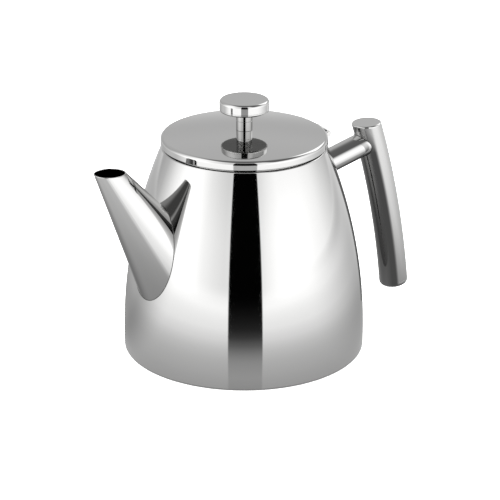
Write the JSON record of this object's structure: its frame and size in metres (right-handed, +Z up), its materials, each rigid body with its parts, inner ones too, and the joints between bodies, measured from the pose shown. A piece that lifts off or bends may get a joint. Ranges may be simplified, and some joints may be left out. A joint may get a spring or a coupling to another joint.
{
  "type": "teapot infuser",
  "caption": "Polished double-walled steel teapot with a conical spout, a bar handle, a hinged flat-domed lid with a disc knob, and a lift-out perforated infuser basket.",
  "frame": {"origin": "centre of the base, on the surface that the pot stands on", "axes": "+Z up, +X towards the handle, -X towards the spout, Y across; the lid's hinge axis is parallel to Y"},
  "size_m": [0.2353, 0.15, 0.1592],
  "materials": {
    "mirror_steel": "mirror-polished stainless steel",
    "satin_steel": "satin stainless steel",
    "basket_steel": "polished stainless steel",
    "mesh_steel": "perforated stainless steel sheet",
    "pin_steel": "turned stainless steel"
  },
  "bodies": {
    "pot": {"outer_shell": "mirror_steel", "base_plate": "satin_steel", "inner_liner": "satin_steel", "mouth_ring": "mirror_steel", "spout_tube": "mirror_steel", "spout_port": "satin_steel", "handle_grip": "mirror_steel", "grip_top_cap": "mirror_steel", "grip_bottom_cap": "mirror_steel", "handle_strut": "mirror_steel", "hinge_bracket": "mirror_steel", "hinge_pin": "pin_steel"},
    "lid": {"lid_cover": "mirror_steel", "lid_liner": "satin_steel", "lid_hinge_leaf": "mirror_steel", "knob_cap": "mirror_steel", "knob_base": "mirror_steel", "knob_stem": "mirror_steel", "knob_screw": "pin_steel", "knob_washer": "pin_steel"},
    "infuser": {"infuser_rim": "basket_steel", "infuser_wall": "mesh_steel", "infuser_floor": "mesh_steel", "infuser_base_hoop": "basket_steel"}
  },
  "joints": [
    {"name": "lid_hinge", "type": "hinge", "parent": "pot", "child": "lid", "pos_m": [0.0573, 0, 0.1286], "axis": [0, 1, 0], "range_deg": [0, 100]},
    {"name": "infuser_lift", "type": "slide", "parent": "pot", "child": "infuser", "axis": [0, 0, 1], "range_m": [0, 0.0028]}
  ]
}
